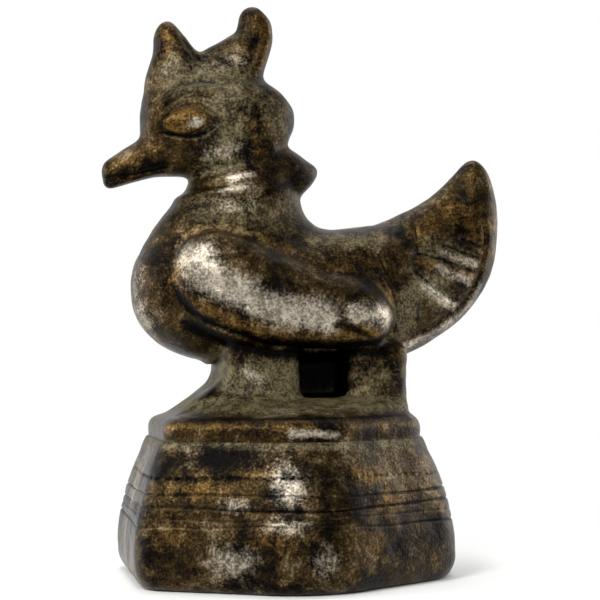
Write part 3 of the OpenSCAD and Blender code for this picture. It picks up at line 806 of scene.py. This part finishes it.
# Cast leaded bronze, dark from long handling: a brown-black skin with ochre where it is thin, olive
# dust in the hollows, grey metal where hands rub with painted sheen and glint, black painted shade in cuts
# and corners, a thin waxy gloss and a sandy grain
SKIN_BLACK = "#070503"
SKIN_BROWN = "#503d1c"
SKIN_METALLIC = 0.9
SKIN_ROUGH = 0.34
# Layers over the skin: the mark that brings one out, 1 if it takes the high grains first and -1 if the low,
# how softly it ends, the colours of its low and its high grains, how metallic and how rough it is
LAYERS = [
    ("warm", 1, 0.40, "#33250f", "#725627", 0.9, 0.34),
    ("dusty", 1, 0.40, "#352d1a", "#6f6546", 0.30, 0.60),
    # Grey metal where hands rub, also the painted sheen and the eyes' painted glint
    ("worn", 1, 0.43, "#7e7566", "#ccc1ae", 0.95, 0.31),
    # Black: painted shade in cuts, corners and the opening between the legs, and dark patches on the plinth
    ("black", -1, 0.40, "#020101", "#070503", 1.0, 0.50),
]
# The casting grain is near 0.1 mm on the real piece, drawn a little coarser here so that it shows
SPECKLE = 0.24
MOTTLE = 1.1
CLOUD = 4.0
# Share of the mottle in the grain, and of the clouds in the blotches
MOTTLE_SHARE = 0.45
CLOUD_SHARE = 0.45
# Noise levels over which low grains turn to high ones, and the skin from black to brown
HIGH_FROM, HIGH_TO = 0.41, 0.59
BROWN_FROM, BROWN_TO = 0.42, 0.62
# How far the grain breaks up the border of a mark
GRAIN_PULL = 2.6
# Height of the grain, drawn as bumps, and how strong the speckle is in it beside the mottle
GRAIN_H = 0.14
SPECKLE_BUMP = 0.6


def make_cast_bronze():
    """The skin and the layers over it, mixed in order; a strong mark takes more grains than a weak one."""
    material = bpy.data.materials.new("cast_bronze_patina")
    material.use_nodes = True
    tree = material.node_tree
    tree.nodes.clear()
    place = add_node(tree, "ShaderNodeTexCoord")["Object"]
    speckle, mottle, cloud = (
        add_node(tree, "ShaderNodeTexNoise", {
            "Vector": place, "Scale": 1 / (size * MM), "Detail": 4.0, "Roughness": 0.68})["Fac"]
        for size in (SPECKLE, MOTTLE, CLOUD))
    grain = add_node(tree, "ShaderNodeMix", {0: MOTTLE_SHARE, 2: speckle, 3: mottle})[0]
    blotch = add_node(tree, "ShaderNodeMix", {0: CLOUD_SHARE, 2: grain, 3: cloud})[0]
    high = add_node(tree, "ShaderNodeMapRange", {
        "Value": grain, "From Min": HIGH_FROM, "From Max": HIGH_TO},
        interpolation_type="SMOOTHSTEP")["Result"]
    brown = add_node(tree, "ShaderNodeMapRange", {
        "Value": blotch, "From Min": BROWN_FROM, "From Max": BROWN_TO},
        interpolation_type="SMOOTHSTEP")["Result"]
    colour = add_node(tree, "ShaderNodeMix", {
        0: brown, 6: linear(SKIN_BLACK), 7: linear(SKIN_BROWN)}, data_type="RGBA")[2]
    metallic, rough = SKIN_METALLIC, SKIN_ROUGH
    for label, first, soft, low_colour, high_colour, layer_metallic, layer_rough in LAYERS:
        pull = first * GRAIN_PULL
        mark = add_node(tree, "ShaderNodeAttribute", attribute_name=label)["Fac"]
        level = add_node(tree, "ShaderNodeMath", {0: blotch, 1: pull, 2: mark}, operation="MULTIPLY_ADD")[0]
        middle = 0.5 + pull / 2
        share = add_node(tree, "ShaderNodeMapRange", {
            "Value": level, "From Min": middle - soft, "From Max": middle + soft},
            interpolation_type="SMOOTHSTEP")["Result"]
        tint = add_node(tree, "ShaderNodeMix", {
            0: high, 6: linear(low_colour), 7: linear(high_colour)}, data_type="RGBA")[2]
        colour = add_node(tree, "ShaderNodeMix", {0: share, 6: colour, 7: tint}, data_type="RGBA")[2]
        metallic = add_node(tree, "ShaderNodeMix", {0: share, 2: metallic, 3: layer_metallic})[0]
        rough = add_node(tree, "ShaderNodeMix", {0: share, 2: rough, 3: layer_rough})[0]
    bumps = add_node(tree, "ShaderNodeMath", {0: speckle, 1: SPECKLE_BUMP, 2: mottle},
                     operation="MULTIPLY_ADD")[0]
    normal = add_node(tree, "ShaderNodeBump", {
        "Height": bumps, "Strength": 0.65, "Distance": GRAIN_H * MM})["Normal"]
    shader = add_node(tree, "ShaderNodeBsdfPrincipled", {
        "Base Color": colour, "Metallic": metallic, "Roughness": rough, "Normal": normal,
        "Coat Normal": normal, "Specular IOR Level": 0.2, "Coat Weight": 0.06, "Coat Roughness": 0.2})
    add_node(tree, "ShaderNodeOutputMaterial", {"Surface": shader["BSDF"]})
    return material


# Stage, light and camera, in metres

FLOOR_HALF = 3.0
# Distance from the axis over which the floor's shadow fades to plain white
FADE_FROM, FADE_TO = 0.018, 0.045
# The side that the camera is on, how bright the tent is behind the object and on that side,
# and how far to that side the change starts and ends
CAMERA_SIDE = (-0.10, -0.95, 0.0)
TENT_BACK, TENT_FRONT = 1.0, 0.02
TENT_FROM, TENT_TO = -0.20, 0.40
# Soft boxes, all aimed at the bird's middle: name, place, width and watts
LAMP_AIM = (0, 0, 0.03)
LAMPS = [
    ("key_box", (-0.26, -0.26, 0.32), 0.14, 1.2),
    ("front_box", (-0.05, -0.40, 0.27), 0.10, 0.9),
    ("fill_box", (0.36, 0.06, 0.10), 0.22, 0.5),
    ("top_box", (0.0, 0.08, 0.40), 0.20, 0.4),
    ("side_box", (-0.36, 0.10, 0.08), 0.25, 0.9),
]
# Camera: degrees that it is turned towards the breast and rolled, distance from the axis, its height,
# the height of the aim point and that point's shift to the right
CAMERA_TURN, CAMERA_ROLL = -12, -0.4
CAMERA_AWAY = 0.145
CAMERA_H = 0.0205
AIM_H = 0.027
AIM_RIGHT = 0.00192
# Focal length and picture width in millimetres
LENS, PICTURE_W = 87.2, 36.0


def add_floor():
    """A wide pale floor that turns to plain white for the camera away from the object's shadow."""
    corners = [(-FLOOR_HALF, -FLOOR_HALF, 0), (FLOOR_HALF, -FLOOR_HALF, 0),
               (FLOOR_HALF, FLOOR_HALF, 0), (-FLOOR_HALF, FLOOR_HALF, 0)]
    mesh = bpy.data.meshes.new("studio_floor")
    mesh.from_pydata(corners, [], [(0, 1, 2, 3)])
    floor = bpy.data.objects.new("studio_floor", mesh)
    bpy.context.scene.collection.objects.link(floor)
    material = bpy.data.materials.new("white_paper")
    material.use_nodes = True
    tree = material.node_tree
    tree.nodes.clear()
    place = add_node(tree, "ShaderNodeTexCoord")["Object"]
    away = add_node(tree, "ShaderNodeVectorMath", {0: place}, operation="LENGTH")["Value"]
    far = add_node(tree, "ShaderNodeMapRange", {
        "Value": away, "From Min": FADE_FROM, "From Max": FADE_TO},
        interpolation_type="SMOOTHSTEP")["Result"]
    rays = add_node(tree, "ShaderNodeLightPath")
    seen = add_node(tree, "ShaderNodeMath", {0: rays["Is Camera Ray"], 1: rays["Is Glossy Ray"]},
                    operation="MAXIMUM")[0]
    share = add_node(tree, "ShaderNodeMath", {0: far, 1: seen}, operation="MULTIPLY")[0]
    paper = add_node(tree, "ShaderNodeBsdfDiffuse", {"Color": linear("#f6f6f4")})["BSDF"]
    white = add_node(tree, "ShaderNodeEmission", {"Strength": 1.0})["Emission"]
    mixed = add_node(tree, "ShaderNodeMixShader", {0: share, 1: paper, 2: white})["Shader"]
    add_node(tree, "ShaderNodeOutputMaterial", {"Surface": mixed})
    mesh.materials.append(material)


def light_room():
    """White all round for the camera; for the metal a white tent that is darker on the camera's side."""
    world = bpy.data.worlds.new("white_tent")
    world.use_nodes = True
    tree = world.node_tree
    tree.nodes.clear()
    towards = add_node(tree, "ShaderNodeTexCoord")["Generated"]
    front = add_node(tree, "ShaderNodeVectorMath", {0: towards, 1: CAMERA_SIDE},
                     operation="DOT_PRODUCT")["Value"]
    tent = add_node(tree, "ShaderNodeMapRange", {
        "Value": front, "From Min": TENT_FROM, "From Max": TENT_TO,
        "To Min": TENT_BACK, "To Max": TENT_FRONT}, interpolation_type="SMOOTHSTEP")["Result"]
    camera_ray = add_node(tree, "ShaderNodeLightPath")["Is Camera Ray"]
    glow = add_node(tree, "ShaderNodeBackground", {"Strength": tent})["Background"]
    white = add_node(tree, "ShaderNodeBackground", {"Color": (1, 1, 1, 1), "Strength": 1.0})["Background"]
    mixed = add_node(tree, "ShaderNodeMixShader", {0: camera_ray, 1: glow, 2: white})["Shader"]
    add_node(tree, "ShaderNodeOutputWorld", {"Surface": mixed})
    bpy.context.scene.world = world


def add_lamp(name, place, width, watts):
    """A square soft box that faces the aim point."""
    lamp = bpy.data.lights.new(name, "AREA")
    lamp.size = width
    lamp.energy = watts
    holder = bpy.data.objects.new(name, lamp)
    holder.location = place
    holder.rotation_euler = (Vector(LAMP_AIM) - Vector(place)).to_track_quat("-Z", "Y").to_euler()
    bpy.context.scene.collection.objects.link(holder)


def add_camera():
    """A little in front of the bird's side, level with its legs, and tilted up to take in the crest."""
    turn = math.radians(CAMERA_TURN)
    right = Vector((math.cos(turn), math.sin(turn), 0))
    ahead = Vector((-math.sin(turn), math.cos(turn), 0))
    eye = Vector((0, 0, CAMERA_H)) - CAMERA_AWAY * ahead
    aim = Vector((0, 0, AIM_H)) + AIM_RIGHT * right
    camera = bpy.data.cameras.new("camera")
    camera.lens = LENS
    camera.sensor_width = PICTURE_W
    camera.clip_start = 0.01
    holder = bpy.data.objects.new("camera", camera)
    facing = (aim - eye).to_track_quat("-Z", "Y").to_matrix().to_4x4()
    roll = Matrix.Rotation(math.radians(CAMERA_ROLL), 4, "Z")
    holder.matrix_world = Matrix.Translation(eye) @ facing @ roll
    bpy.context.scene.collection.objects.link(holder)
    bpy.context.scene.camera = holder


cast_bronze = make_cast_bronze()
for node_name in CAST_NODES:
    cast_piece(node_name)
plinth_skin()
eye_pellet("left_eye", -1)
eye_pellet("right_eye", 1)

bpy.context.scene.view_settings.view_transform = "Standard"
add_floor()
light_room()
for lamp_row in LAMPS:
    add_lamp(*lamp_row)
add_camera()
